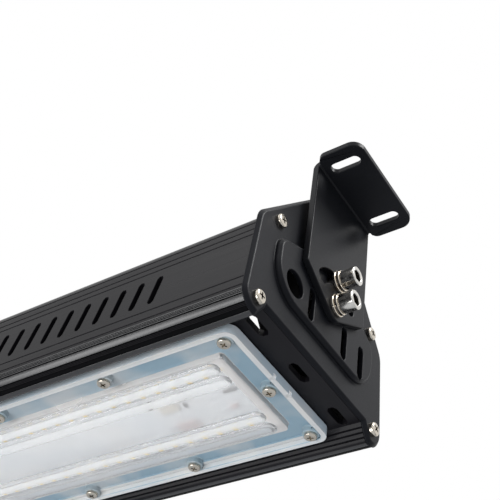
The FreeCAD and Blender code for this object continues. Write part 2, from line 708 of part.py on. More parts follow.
def driver_lid():
    body = new_body("driver_lid")
    inset = 0.4
    sheet = box_outline(size("driver_length") / 2 - inset, size("driver_width") / 2 - inset)
    top_of_case = PANEL_TOP + " + sizes.driver_height - sizes.driver_lid"
    pad(body, new_sketch(body, "XY_Plane", [sheet], top_of_case), "sizes.driver_lid")
    return body


def panel_screws(name, places, seat):
    """Pan-head screws standing on a seat above the panel and threaded into it."""
    body = new_body(name)
    heads = new_sketch(body, "XY_Plane", holes(places, 5.6), f"{PANEL_TOP} + {seat}")
    pad(body, heads, "1.8")
    shanks = new_sketch(body, "XY_Plane", holes(places, size("screw_shank")), "sizes.ear_height + 0.4")
    pad(body, shanks, f"sizes.panel - 0.4 + {seat}")
    return body


def terminal_block():
    """Three-pole block with its clamp wells and fixing screws sunk in the top."""
    body = new_body("terminal_block")
    half_length, half_width = 11, 16
    block = new_sketch(body, "XY_Plane", [box_outline(half_length, half_width, 0, BLOCK_X)], PANEL_TOP)
    pad(body, block, "sizes.block_height")
    wells = [box_outline(2, 2, 0, BLOCK_X + x, y) for x in (-6, 6) for y in WIRE_ROWS]
    pocket(body, new_sketch(body, "XY_Plane", wells, PANEL_TOP + " + sizes.block_height"), "6")
    pocket(body, new_sketch(body, "XY_Plane", holes(BLOCK_SCREWS, size("screw_clear"))), symmetric=True)
    recesses = new_sketch(body, "XY_Plane", holes(BLOCK_SCREWS, 6.4), PANEL_TOP + " + sizes.block_height")
    pocket(body, recesses, "sizes.block_height - sizes.block_seat")
    return body


def mains_leads():
    """Three short leads from the terminal block to the driver."""
    body = new_body("mains_leads")
    wires = [polygon(y, 17, 2.4, 6) for y in WIRE_ROWS]
    run = new_sketch(body, "YZ_Plane", wires, "sizes.driver_length / 2")
    pad(body, run, f"{BLOCK_X} - 11 - sizes.driver_length / 2")
    return body


def led_leads():
    """Two leads from the driver that turn down through the panel to the back of the board."""
    body = new_body("led_leads")
    level, gauge, pair = 26, 2.2, (-1.4, 1.4)
    under, inner = LEAD_HOLE_X - gauge / 2, LEAD_HOLE_X + gauge / 2
    bend = 8
    route = rounded([
        (-size("driver_length") / 2, level + gauge / 2),
        (inner + bend - gauge / 2, level + gauge / 2),
        (under, level - bend),
        (under, size("ear_height")),
        (inner, size("ear_height")),
        (inner, level - bend - gauge / 2),
        (inner + bend, level - gauge / 2),
        (-size("driver_length") / 2, level - gauge / 2),
    ])
    for y in pair:
        lead = new_sketch(body, "XZ_Plane", [route], str(y))
        pad(body, lead, str(gauge), symmetric=True)
    return body


def lead_grommet():
    """Rubber grommet in the panel, with a flange on its upper side and a plain bore."""
    body = new_body("lead_grommet")
    bore = polygon(LEAD_HOLE_X, 0, 6, HEAD_SIDES)
    tube = [polygon(LEAD_HOLE_X, 0, 9, HEAD_SIDES), bore]
    pad(body, new_sketch(body, "XY_Plane", tube, "sizes.ear_height"), "sizes.panel")
    flange = [polygon(LEAD_HOLE_X, 0, 12, HEAD_SIDES), bore]
    pad(body, new_sketch(body, "XY_Plane", flange, PANEL_TOP), "1.5")
    return body


# ---------------------------------------------------------------- assembly and export

housing()
for side_name, facing in (("right", 1), ("left", -1)):
    end_plate(f"end_plate_{side_name}", facing)
    bracket(f"bracket_{side_name}", facing)
    socket_bolt(f"pivot_bolt_{side_name}", facing, "sizes.pivot_height")
    socket_bolt(f"slot_bolt_{side_name}", facing, "sizes.pivot_height + sizes.slot_radius")
end_plate_screws()
flat_washers()
spring_washers()
bolt_nuts()
lens_cover()
lens_gasket()
lens_screws()
led_board()
led_chips()
driver_case()
driver_lid()
panel_screws("driver_screws", DRIVER_SCREWS, "sizes.driver_lug")
terminal_block()
panel_screws("terminal_screws", BLOCK_SCREWS, "sizes.block_seat")
mains_leads()
led_leads()
lead_grommet()
doc.recompute()

failed = [o.Name for o in doc.Objects if "Invalid" in o.State or "Error" in o.State]
failed += [n.Label for n in NODES if n.Shape.isNull() or not n.Shape.isValid()]
if failed:
    raise RuntimeError("failed to build: " + ", ".join(failed))
os.makedirs("parts", exist_ok=True)
for node in NODES:
    node.Shape.exportStep(f"parts/{node.Label}.step")
    print(node.Label, len(node.Shape.Solids), round(node.Shape.Volume))
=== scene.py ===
# %% [markdown]
# # High bay light
# A high bay light hangs from a warehouse ceiling. A vented aluminium housing carries a clear lens
# underneath, two pressed end plates close it, and a slotted bracket is bolted to each plate.
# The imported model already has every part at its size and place, so this lesson loads it first.
# Everything after that adds finishes, soft edges and the small shapes that catch the light.

# %% Load the model
import json
import math

import bpy
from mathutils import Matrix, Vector

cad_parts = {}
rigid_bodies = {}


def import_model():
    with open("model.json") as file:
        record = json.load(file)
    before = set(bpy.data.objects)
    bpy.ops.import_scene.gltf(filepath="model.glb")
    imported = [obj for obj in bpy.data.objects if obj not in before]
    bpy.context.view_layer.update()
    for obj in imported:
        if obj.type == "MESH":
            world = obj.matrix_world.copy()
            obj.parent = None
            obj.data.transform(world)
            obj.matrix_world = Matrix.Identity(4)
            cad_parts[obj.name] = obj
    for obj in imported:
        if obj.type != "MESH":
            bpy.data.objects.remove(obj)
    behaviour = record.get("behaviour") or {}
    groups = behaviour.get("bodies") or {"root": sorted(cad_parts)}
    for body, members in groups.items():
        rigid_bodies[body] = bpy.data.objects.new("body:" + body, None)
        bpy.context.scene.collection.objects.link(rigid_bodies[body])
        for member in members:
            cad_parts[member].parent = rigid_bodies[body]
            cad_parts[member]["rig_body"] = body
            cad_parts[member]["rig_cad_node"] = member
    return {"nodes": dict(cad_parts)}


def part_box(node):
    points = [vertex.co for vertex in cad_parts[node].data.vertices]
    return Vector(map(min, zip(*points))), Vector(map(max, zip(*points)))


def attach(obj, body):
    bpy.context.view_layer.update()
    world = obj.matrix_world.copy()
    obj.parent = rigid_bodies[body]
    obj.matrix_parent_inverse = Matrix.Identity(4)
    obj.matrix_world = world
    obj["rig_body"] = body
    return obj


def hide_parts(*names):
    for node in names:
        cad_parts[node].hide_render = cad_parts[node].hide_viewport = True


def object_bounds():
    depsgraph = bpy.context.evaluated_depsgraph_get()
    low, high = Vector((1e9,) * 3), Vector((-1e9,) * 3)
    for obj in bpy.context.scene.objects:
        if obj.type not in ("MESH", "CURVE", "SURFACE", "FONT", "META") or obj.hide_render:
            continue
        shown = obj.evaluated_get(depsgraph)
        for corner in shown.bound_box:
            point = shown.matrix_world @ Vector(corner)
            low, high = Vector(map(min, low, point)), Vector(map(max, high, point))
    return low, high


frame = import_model()
nodes = frame["nodes"]
cad_low, cad_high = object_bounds()
MM = 0.001
TINY = 1e-6
cad_size = [round((high - low) / MM, 1) for low, high in zip(cad_low, cad_high)]
print("loaded", len(nodes), "parts,", cad_size, "mm")

# %% [markdown]
# ## Small tools
# Operators act on whatever is selected, so each step starts by selecting one object alone.
# Modifiers are applied at once, which leaves plain meshes that keep their place in their points.

# %% Selection, modifiers and joining


def select_only(*objects):
    """Leave edit mode and select just these objects, the first one active."""
    if bpy.context.mode != "OBJECT":
        bpy.ops.object.mode_set(mode="OBJECT")
    bpy.ops.object.select_all(action="DESELECT")
    for obj in objects:
        obj.select_set(True)
    bpy.context.view_layer.objects.active = objects[0]


def apply_modifier(obj, kind, **settings):
    """Add a modifier with these settings and apply it."""
    modifier = obj.modifiers.new(kind.title(), kind)
    for name, value in settings.items():
        setattr(modifier, name, value)
    select_only(obj)
    bpy.ops.object.modifier_apply(modifier=modifier.name)


def settle(obj):
    """Put an object's place, turn and size into its mesh."""
    select_only(obj)
    bpy.ops.object.transform_apply(location=True, rotation=True, scale=True)


def cut(obj, cutter, operation="DIFFERENCE"):
    """Cut a solid by another, or join it on, and remove the other."""
    apply_modifier(obj, "BOOLEAN", operation=operation, object=cutter, solver="EXACT")
    bpy.data.objects.remove(cutter)


def soften(obj, width, segments=3, angle=30, harden=False):
    """Round the sharp edges a little and shade the rest smooth."""
    select_only(obj)
    bpy.ops.object.shade_smooth_by_angle(angle=math.radians(angle + 10))
    apply_modifier(obj, "BEVEL", width=width, segments=segments, limit_method="ANGLE",
                   angle_limit=math.radians(angle), use_clamp_overlap=False, harden_normals=harden)
    if not harden:
        bpy.ops.object.shade_smooth_by_angle(angle=math.radians(angle + 10))


def joined(name, objects):
    """One piece made of several."""
    select_only(*objects)
    bpy.ops.object.join()
    whole = bpy.context.view_layer.objects.active
    whole.name = name
    return whole


def pick(obj, kind, test):
    """Select the edges or faces that pass a test, and stay in edit mode for the next operator."""
    select_only(obj)
    bpy.ops.object.mode_set(mode="EDIT")
    bpy.ops.mesh.select_mode(type=kind)
    bpy.ops.mesh.select_all(action="DESELECT")
    bpy.ops.object.mode_set(mode="OBJECT")
    for item in obj.data.edges if kind == "EDGE" else obj.data.polygons:
        item.select = test(item)
    bpy.ops.object.mode_set(mode="EDIT")


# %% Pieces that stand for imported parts
SAME_POINT = 0.002 * MM
SAME_PLANE = math.radians(0.3)


def ride_as(piece, node):
    """Ride on the body of a part and stand for it."""
    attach(piece, nodes[node]["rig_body"])
    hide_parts(node)


def middle(node):
    """Middle of a part's box."""
    low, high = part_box(node)
    return (low + high) / 2


def merged_copy(node, name):
    """A free copy of a part with its doubled points merged, in edit mode with all selected."""
    piece = nodes[node].copy()
    piece.data = nodes[node].data.copy()
    piece.name = name
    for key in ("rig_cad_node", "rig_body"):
        del piece[key]
    piece.parent = None
    bpy.context.scene.collection.objects.link(piece)
    select_only(piece)
    bpy.ops.object.mode_set(mode="EDIT")
    bpy.ops.mesh.select_all(action="SELECT")
    bpy.ops.mesh.remove_doubles(threshold=SAME_POINT)
    return piece


# %% [markdown]
# ## Finishes
# A finish is a short chain of nodes: a pattern in object space, a ramp that sets how strongly it
# shows, and the shader. Coats, metals and clear plastics differ in what the pattern drives.

# %% Node helpers


def new_material(name):
    """An empty node material, with its tree and its shader."""
    material = bpy.data.materials.new(name)
    material.use_nodes = True
    tree = material.node_tree
    return material, tree, tree.nodes["Principled BSDF"]


def set_inputs(node, **values):
    """Set sockets by name, with underscores for the spaces."""
    for name, value in values.items():
        node.inputs[name.replace("_", " ")].default_value = value


def noise(tree, scale, stretch=(1, 1, 1), detail=3):
    """Noise in object space, finer along the axes with a larger stretch."""
    place = tree.nodes.new("ShaderNodeTexCoord")
    mapping = tree.nodes.new("ShaderNodeMapping")
    mapping.inputs["Scale"].default_value = stretch
    pattern = tree.nodes.new("ShaderNodeTexNoise")
    set_inputs(pattern, Scale=scale, Detail=detail)
    tree.links.new(place.outputs["Object"], mapping.inputs["Vector"])
    tree.links.new(mapping.outputs["Vector"], pattern.inputs["Vector"])
    return pattern.outputs["Fac"]


def between(tree, factor, low, high, start=0.3, end=0.7):
    """Map a pattern onto a range of numbers or colours."""
    if isinstance(low, tuple):
        ramp = tree.nodes.new("ShaderNodeValToRGB")
        ramp.color_ramp.elements[0].position = start
        ramp.color_ramp.elements[1].position = end
        ramp.color_ramp.elements[0].color = (*low, 1)
        ramp.color_ramp.elements[1].color = (*high, 1)
        tree.links.new(factor, ramp.inputs["Fac"])
        return ramp.outputs["Color"]
    ramp = tree.nodes.new("ShaderNodeMapRange")
    ramp.inputs["From Min"].default_value = start
    ramp.inputs["From Max"].default_value = end
    ramp.inputs["To Min"].default_value = low
    ramp.inputs["To Max"].default_value = high
    tree.links.new(factor, ramp.inputs["Value"])
    return ramp.outputs["Result"]


def bump(tree, shader, height, strength, distance):
    """Let a pattern tilt the surface a little."""
    node = tree.nodes.new("ShaderNodeBump")
    set_inputs(node, Strength=strength, Distance=distance)
    tree.links.new(height, node.inputs["Height"])
    tree.links.new(node.outputs["Normal"], shader.inputs["Normal"])


# %% [markdown]
# ### Black coats
# The sheet parts are powder coated: a satin black skin with a faint orange peel. The extrusion is
# anodised, so it keeps fine draw lines along its length, which are noise stretched along X.

# %% Black coats
SHADE_SCALE = 28
GLOSS_SPREAD = 0.05
PEEL_DEPTH = 0.0001
DRAWN = (0.03, 4, 4)  # stretch that turns noise into lines along X


def black_coat(name, dark, light, roughness, shine, grain, stretch=(1, 1, 1), relief=0.12):
    """Satin black coat with slight shade, gloss and relief changes."""
    material, tree, shader = new_material(name)
    set_inputs(shader, Specular_IOR_Level=shine)
    broad = noise(tree, SHADE_SCALE)
    fine = noise(tree, grain, stretch, detail=4)
    tree.links.new(between(tree, broad, dark, light), shader.inputs["Base Color"])
    gloss = between(tree, fine, roughness - GLOSS_SPREAD, roughness + GLOSS_SPREAD)
    tree.links.new(gloss, shader.inputs["Roughness"])
    bump(tree, shader, fine, relief, PEEL_DEPTH)
    return material


housing_coat = black_coat("housing_coat", (0.0062, 0.0058, 0.0072), (0.0082, 0.0078, 0.0095),
                          roughness=0.32, shine=0.14, grain=300, stretch=DRAWN, relief=0.03)
# Lighter, glossier coat: a painted highlight on the crests of the ear ribs.
crest_highlight_coat = black_coat("crest_highlight_coat", (0.014, 0.0138, 0.015), (0.018, 0.0178, 0.019),
                      roughness=0.20, shine=0.62, grain=300, stretch=DRAWN, relief=0.02)
# Near-black coat: painted shade in the rib grooves and on the shaded band of the ears.
groove_shade_coat = black_coat("groove_shade_coat", (0.002, 0.002, 0.0024), (0.003, 0.003, 0.0036),
                         roughness=0.60, shine=0.04, grain=300, stretch=DRAWN, relief=0.02)
plate_coat = black_coat("plate_coat", (0.0060, 0.0065, 0.0085), (0.0085, 0.0090, 0.0115),
                        roughness=0.40, shine=0.10, grain=1600)
bracket_coat = black_coat("bracket_coat", (0.007, 0.0075, 0.009), (0.010, 0.0105, 0.0125),
                          roughness=0.36, shine=0.10, grain=1800)

# %% [markdown]
# ### Bright metal
# Screws and washers are nickel or zinc plated. Their colour is the reflection itself, so the
# shader is fully metallic. Fine noise darkens and dulls them in places, as wear does, and a darker
# metal inside the hexagon sockets is painted shade.

# %% Bright metal
WEAR_SCALE = 500
WORN_SHADE = 0.82
WORN_ROUGHER = 0.08


def plated(name, colour, roughness):
    """Plated steel, a little darker and duller where it is worn."""
    material, tree, shader = new_material(name)
    set_inputs(shader, Metallic=1.0)
    wear = noise(tree, WEAR_SCALE, detail=4)
    worn = tuple(WORN_SHADE * c for c in colour)
    tree.links.new(between(tree, wear, worn, colour), shader.inputs["Base Color"])
    gloss = between(tree, wear, roughness, roughness + WORN_ROUGHER)
    tree.links.new(gloss, shader.inputs["Roughness"])
    return material


bolt_plating = plated("bolt_plating", (0.72, 0.70, 0.66), 0.09)
washer_plating = plated("washer_plating", (0.76, 0.69, 0.59), 0.10)
screw_plating = plated("screw_plating", (0.62, 0.57, 0.49), 0.08)
# Dark metal painted as shade inside the hexagon sockets.
socket_shade = plated("socket_shade", (0.16, 0.15, 0.13), 0.2)
driver_metal = plated("driver_metal", (0.60, 0.61, 0.63), 0.35)

# %% [markdown]
# ### Plastics, rubber and the board
# Moulded parts change a little in shade and gloss, and one short chain of nodes serves them all.

# %% Plain plastics and rubber
MOULDED_SPREAD = 0.06


def moulded(name, low, high, roughness, grain=260):
    """Moulded plastic or rubber with a faint change of shade and gloss."""
    material, tree, shader = new_material(name)
    pattern = noise(tree, grain)
    tree.links.new(between(tree, pattern, low, high), shader.inputs["Base Color"])
    gloss = between(tree, pattern, roughness - MOULDED_SPREAD, roughness + MOULDED_SPREAD)
    tree.links.new(gloss, shader.inputs["Roughness"])
    return material


gasket_rubber = moulded("gasket_rubber", (0.020, 0.020, 0.021), (0.032, 0.032, 0.034), 0.7)
board_mask = moulded("board_mask", (0.80, 0.80, 0.79), (0.88, 0.88, 0.87), 0.35, grain=60)
phosphor = moulded("phosphor", (0.94, 0.66, 0.22), (0.96, 0.74, 0.30), 0.4, grain=900)
chip_case = moulded("chip_case", (0.82, 0.82, 0.80), (0.90, 0.90, 0.88), 0.35, grain=900)
block_plastic = moulded("block_plastic", (0.62, 0.62, 0.60), (0.72, 0.72, 0.70), 0.45)
lead_plastic = moulded("lead_plastic", (0.16, 0.08, 0.05), (0.22, 0.12, 0.07), 0.4)
part_dark = moulded("part_dark", (0.10, 0.09, 0.08), (0.16, 0.14, 0.12), 0.4)
pink_plastic = moulded("pink_plastic", (0.66, 0.50, 0.46), (0.74, 0.58, 0.54), 0.5)
beige_plastic = moulded("beige_plastic", (0.66, 0.60, 0.50), (0.76, 0.70, 0.60), 0.5)

# %% [markdown]
# ### Clear lens
# The lens is polycarbonate. Lamps have to reach the board behind it, so a Transparent shader takes
# over for shadow rays. The flange lies on dark rubber and looks milky blue, because the moulding
# scatters a little light, so there a part of the light is reflected by the plastic itself.

# %% Clear plastic
LENS_IOR = 1.4
HAZE_SCALE = 40
HAZE_FROM, HAZE_TO = 0.42, 0.66  # part of the noise over which the tint changes
HAZE_ROUGHER = 0.03
PASSED = (0.95, 0.96, 0.97)


def clear_plastic(name, tint, paler, milky, roughness, shadow_tint=PASSED):
    """Plastic that lets lamps through, scatters a share of the light and is a little mottled."""
    material, tree, shader = new_material(name)
    set_inputs(shader, Transmission_Weight=1 - milky, IOR=LENS_IOR)
    haze = noise(tree, HAZE_SCALE, detail=2)
    shade = between(tree, haze, tint, paler, HAZE_FROM, HAZE_TO)
    tree.links.new(shade, shader.inputs["Base Color"])
    gloss = between(tree, haze, roughness, roughness + HAZE_ROUGHER)
    tree.links.new(gloss, shader.inputs["Roughness"])
    path = tree.nodes.new("ShaderNodeLightPath")
    clear = tree.nodes.new("ShaderNodeBsdfTransparent")
    clear.inputs["Color"].default_value = (*shadow_tint, 1)
    mix = tree.nodes.new("ShaderNodeMixShader")
    tree.links.new(path.outputs["Is Shadow Ray"], mix.inputs["Fac"])
    tree.links.new(shader.outputs["BSDF"], mix.inputs[1])
    tree.links.new(clear.outputs["BSDF"], mix.inputs[2])
    tree.links.new(mix.outputs["Shader"], tree.nodes["Material Output"].inputs["Surface"])
    return material


window_clear = clear_plastic("window_clear", (0.93, 0.94, 0.95), (0.96, 0.96, 0.96),
                             milky=0.10, roughness=0.05)
window_frosted = clear_plastic("window_frosted", (0.88, 0.89, 0.90), (0.92, 0.92, 0.92),
                               milky=0.30, roughness=0.30)
wall_milky = clear_plastic("wall_milky", (0.74, 0.71, 0.69), (0.82, 0.79, 0.76),
                           milky=0.60, roughness=0.25)
flange_milky = clear_plastic("flange_milky", (0.35, 0.50, 0.60), (0.64, 0.68, 0.70),
                             milky=0.66, roughness=0.22, shadow_tint=(0.7, 0.75, 0.8))
rim_milky = clear_plastic("rim_milky", (0.74, 0.75, 0.75), (0.84, 0.83, 0.80),
                          milky=0.74, roughness=0.20)
boss_milky = clear_plastic("boss_milky", (0.44, 0.57, 0.64), (0.62, 0.68, 0.71),
                           milky=0.64, roughness=0.12)
# White finish on the crest of each optic bar: a painted highlight streak.
bar_streak_highlight = clear_plastic("bar_streak_highlight", (0.96, 0.965, 0.97), (0.98, 0.98, 0.98),
                          milky=0.34, roughness=0.05)
# Paler milky plastic on the outer walls: a painted highlight along the lens's cut edges.
edge_highlight_milky = clear_plastic("edge_highlight_milky", (0.72, 0.84, 0.92), (0.90, 0.93, 0.95),
                           milky=0.92, roughness=0.12)

# %% [markdown]
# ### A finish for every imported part
# A part takes the finish listed under the longest key that its name starts with.

# %% Assign the finishes
FINISHES = {
    "housing": housing_coat, "end_plate": plate_coat, "bracket": bracket_coat,
    "pivot_bolt": bolt_plating, "slot_bolt": bolt_plating, "flat_washers": washer_plating,
    "spring_washers": washer_plating, "bolt_nuts": washer_plating,
    "end_plate_screws": screw_plating, "lens_screws": screw_plating,
    "lens_cover": window_clear, "lens_gasket": gasket_rubber,
    "led_board": board_mask, "led_chips": chip_case, "led_leads": lead_plastic,
    "driver_case": driver_metal, "driver_lid": driver_metal, "driver_screws": screw_plating,
    "terminal_block": block_plastic, "terminal_screws": screw_plating,
    "mains_leads": lead_plastic, "lead_grommet": gasket_rubber,
}
for name, part in nodes.items():
    finish = FINISHES[max((key for key in FINISHES if name.startswith(key)), key=len)]
    part.data.materials.clear()
    part.data.materials.append(finish)
print("finished", len(nodes), "parts with", len(FINISHES), "finishes")

# %% [markdown]
# ## Soft edges on the sheet parts and the housing
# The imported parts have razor-sharp edges. On a coated part every edge is slightly round and shows
# a thin highlight. A copy of each is merged, its flat faces are cleaned and its edges bevelled.

# %% Bevelled copies of the black parts
HOUSING_EDGE, PLATE_EDGE, BRACKET_EDGE = 0.12 * MM, 0.35 * MM, 0.4 * MM
BRACKET_HOLES_Y = (-18.3 * MM, 0, 18.3 * MM)


def softened_copy(node, edge, segments, seams=()):
    """A copy of a part with merged points and soft edges, which stands for it.

    A flat face with a hole in it can't be one clean polygon, so faces are split across their holes
    at the Y places given as seams."""
    piece = merged_copy(node, node + "_coated")
    bpy.ops.mesh.customdata_custom_splitnormals_clear()
    for y in seams:
        bpy.ops.mesh.select_all(action="SELECT")
        bpy.ops.mesh.bisect(plane_co=(0, y, 0), plane_no=(0, 1, 0))
        bpy.ops.mesh.mark_seam(clear=False)
    bpy.ops.mesh.select_all(action="SELECT")
    bpy.ops.mesh.dissolve_limited(angle_limit=SAME_PLANE, delimit={"SEAM"})
    bpy.ops.object.mode_set(mode="OBJECT")
    soften(piece, edge, segments)
    apply_modifier(piece, "WEIGHTED_NORMAL", keep_sharp=True)
    ride_as(piece, node)
    return piece


shell = softened_copy("housing", HOUSING_EDGE, 2)
for side in ("right", "left"):
    softened_copy("end_plate_" + side, PLATE_EDGE, 3)
    softened_copy("bracket_" + side, BRACKET_EDGE, 3, seams=BRACKET_HOLES_Y)
print("softened the housing, two plates and two brackets")

# %% [markdown]
# ## Ribs of the ears
# Each ear of the extrusion is round, with fine grooves along it. The crests get a lighter, glossier
# coat as a painted highlight, and the groove floors and a band low on the ear get a near-black one
# as painted shade, so each face gets its finish from its place round the ear.

# %% Finishes round the ears
EAR_RADIUS = 8 * MM
EAR_SKIN = (0.8 * EAR_RADIUS, 1.03 * EAR_RADIUS)  # where faces still belong to the ear's outside
GROOVE_DEPTH = 0.09 * MM
END_FACE = 0.5  # faces that look along X more than this are the cut ends
# BRIGHT_TO ends the painted highlight band and SHADED bounds the painted shade band.
EAR_ARC, BRIGHT_TO, SHADED = (8, 95), 50, (64.5, 77)  # degrees below level
PLAIN, CREST_HIGHLIGHT, GROOVE_SHADE = range(3)
ear_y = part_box("housing")[1].y - EAR_RADIUS
# The second finish is a painted highlight on the crests, the third painted shade in the grooves.
shell.data.materials.append(crest_highlight_coat)
shell.data.materials.append(groove_shade_coat)


def ear_finish(face):
    """The plain coat, a crest with painted highlight, or painted shade in a groove and the shaded
    part of an ear.
    """
    across, up = abs(face.center.y) - ear_y, face.center.z - EAR_RADIUS
    radius, below = math.hypot(across, up), math.degrees(math.atan2(-up, across))
    outside = EAR_SKIN[0] < radius < EAR_SKIN[1] and EAR_ARC[0] < below < EAR_ARC[1]
    if not outside or abs(face.normal.x) > END_FACE:
        return PLAIN
    if radius < EAR_RADIUS - GROOVE_DEPTH or SHADED[0] < below < SHADED[1]:
        return GROOVE_SHADE
    return CREST_HIGHLIGHT if below < BRIGHT_TO or below > SHADED[1] else PLAIN


for face in shell.data.polygons:
    face.material_index = ear_finish(face)

# %% [markdown]
# ## Bolts and washers
# Each bracket is held by two socket-head bolts. A head is a cylinder with a hexagonal recess cut
# by a six-sided one, then bevelled. The washers are rings given a thickness.

# %% Socket-head bolts
HEAD_HEIGHT, SHANK = 6.8 * MM, 6 * MM
HEX_ACROSS_FLATS, HEX_DEPTH = 5 * MM, 3.4 * MM
HEX_ACROSS_CORNERS = HEX_ACROSS_FLATS / math.cos(math.radians(30))
HEX_SHADED_FROM = 0.6 * MM
HEAD_ROUNDING = 0.45 * MM
PAST = 1 * MM  # how far a cutter reaches past the face that it opens
BRIGHT, SUNK = range(2)


def cylinder_x(vertices, diameter, ends, y, z):
    """A cylinder along X between two places."""
    start, end = min(ends), max(ends)
    bpy.ops.mesh.primitive_cylinder_add(vertices=vertices, radius=diameter / 2, depth=end - start,
                                        location=((start + end) / 2, y, z),
                                        rotation=(0, math.pi / 2, 0))
    obj = bpy.context.object
    settle(obj)
    return obj


def socket_bolt(node, facing):
    """Head with a rounded rim and a hexagonal recess, on a plain shank."""
    low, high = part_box(node)
    centre = middle(node)
    tip, face = (low.x, high.x) if facing > 0 else (high.x, low.x)
    seat = face - facing * HEAD_HEIGHT
    head = cylinder_x(56, high.z - low.z, (seat, face), centre.y, centre.z)
    recess_ends = (face - facing * HEX_DEPTH, face + facing * PAST)
    cut(head, cylinder_x(6, HEX_ACROSS_CORNERS, recess_ends, centre.y, centre.z))
    soften(head, HEAD_ROUNDING, 4, angle=50)
    head.data.materials.append(bolt_plating)
    head.data.materials.append(socket_shade)
    # Faces deep in the hexagon recess get socket_shade, a painted shade.
    for side in head.data.polygons:
        off_axis = math.hypot(side.center.y - centre.y, side.center.z - centre.z)
        inside = off_axis < HEX_ACROSS_CORNERS / 2 and abs(face - side.center.x) > HEX_SHADED_FROM
        side.material_index = SUNK if inside else BRIGHT
    shank = cylinder_x(24, SHANK, (tip, seat), centre.y, centre.z)
    shank.data.materials.append(bolt_plating)
    ride_as(joined(node + "_turned", [head, shank]), node)


for side, facing in (("right", 1), ("left", -1)):
    for kind in ("pivot_bolt_", "slot_bolt_"):
        socket_bolt(kind + side, facing)

# %% Washers
WASHER_HOLE = 6.4 * MM
FLAT_THICKNESS, SPRING_THICKNESS, RING_ROUNDING = 1.4 * MM, 1.6 * MM, 0.25 * MM
SPLIT_GAP, SPLIT_AT = 14, -40  # degrees round the bolt


def ring_x(x, y, z, outer, inner, thickness, gap):
    """A flat ring facing X, with an opening of some degrees where it is split."""
    bpy.ops.mesh.primitive_circle_add(vertices=72, radius=outer / 2, fill_type="NOTHING",
                                      location=(x, y, z), rotation=(0, math.pi / 2, 0))
    ring = bpy.context.object
    bpy.ops.object.mode_set(mode="EDIT")
    bpy.ops.mesh.select_all(action="SELECT")
    bpy.ops.mesh.extrude_edges_move()
    bpy.ops.transform.resize(value=(inner / outer,) * 3)
    bpy.ops.object.mode_set(mode="OBJECT")
    settle(ring)

    def in_gap(face):
        turn = math.degrees(math.atan2(face.center.z - z, face.center.y - y))
        return abs(turn - SPLIT_AT) < gap / 2

    if gap:
        pick(ring, "FACE", in_gap)
        bpy.ops.mesh.delete(type="FACE")
        bpy.ops.object.mode_set(mode="OBJECT")
    apply_modifier(ring, "SOLIDIFY", thickness=thickness, offset=0)
    soften(ring, RING_ROUNDING, 2, angle=50)
    return ring


def washer_set(node, thickness, gap=0):
    """A ring under each bolt head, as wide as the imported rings."""
    low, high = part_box(node)
    outer = high.y - low.y
    heights = [middle("pivot_bolt_right").z, middle("slot_bolt_right").z]
    rings = []
    for facing in (1, -1):
        x = facing * (high.x - thickness / 2)
        rings += [ring_x(x, 0, z, outer, WASHER_HOLE, thickness, gap) for z in heights]
    whole = joined(node + "_stamped", rings)
    whole.data.materials.append(washer_plating)
    ride_as(whole, node)


washer_set("flat_washers", FLAT_THICKNESS)
washer_set("spring_washers", SPRING_THICKNESS, SPLIT_GAP)

# %% [markdown]
# ## Pan-head screws
# The small screws have a low domed head with a cross recess. One head is made at the origin,
# facing up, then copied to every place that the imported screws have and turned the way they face.

# %% Screw heads
LENS_HEAD, LENS_HEAD_HEIGHT, LENS_CROSS = 5.6 * MM, 1.6 * MM, 2.8 * MM
PLATE_HEAD, PLATE_HEAD_HEIGHT, PLATE_CROSS = 6.1 * MM, 2.1 * MM, 3.2 * MM
LENS_TURN, PLATE_TURN = 0.5, 0.6  # radians from one cross to the next
DOME = 0.55  # share of the head's height that is rounded
BLADE_WIDTH, BLADE_DEPTH = 0.24, 1.3  # of the cross and of the head's height


def pan_head(diameter, height, cross):
    """A domed head on the XY plane, its cross recess upwards."""
    bpy.ops.mesh.primitive_cylinder_add(vertices=40, radius=diameter / 2, depth=height,
                                        location=(0, 0, height / 2))
    head = bpy.context.object
    settle(head)
    mesh = head.data

    def at_top(edge):
        return all(abs(mesh.vertices[i].co.z - height) < TINY for i in edge.vertices)

    pick(head, "EDGE", at_top)
    bpy.ops.mesh.bevel(offset=DOME * height, segments=5, profile=0.6, affect="EDGES")
    bpy.ops.object.mode_set(mode="OBJECT")
    for turn in (math.pi / 4, 3 * math.pi / 4):
        bpy.ops.mesh.primitive_cube_add(size=1, location=(0, 0, height), rotation=(0, 0, turn))
        blade = bpy.context.object
        blade.scale = (cross, BLADE_WIDTH * cross, BLADE_DEPTH * height)
        settle(blade)
        cut(head, blade)
    select_only(head)
    bpy.ops.object.shade_smooth_by_angle(angle=math.radians(35))
    return head


def place_heads(node, head, places, turns):
    """Copies of a head at several places, turned from +Z to the way they face."""
    copies = []
    for place, turn in zip(places, turns):
        twin = head.copy()
        twin.data = head.data.copy()
        bpy.context.scene.collection.objects.link(twin)
        twin.rotation_mode = "ZYX"
        twin.rotation_euler = turn
        twin.location = place
        settle(twin)
        copies.append(twin)
    whole = joined(node + "_pan_heads", copies)
    whole.data.materials.append(screw_plating)
    ride_as(whole, node)
    bpy.data.objects.remove(head)


def loose_centres(node):
    """Middle of every separate solid of a part, read from its merged copy."""
    merged_copy(node, node + "_probe")
    bpy.ops.mesh.separate(type="LOOSE")
    bpy.ops.object.mode_set(mode="OBJECT")
    centres = []
    for solid in list(bpy.context.selected_objects):
        corners = [Vector(c) for c in solid.bound_box]
        centres.append(sum(corners, Vector()) / len(corners))
        bpy.data.objects.remove(solid)
    return centres


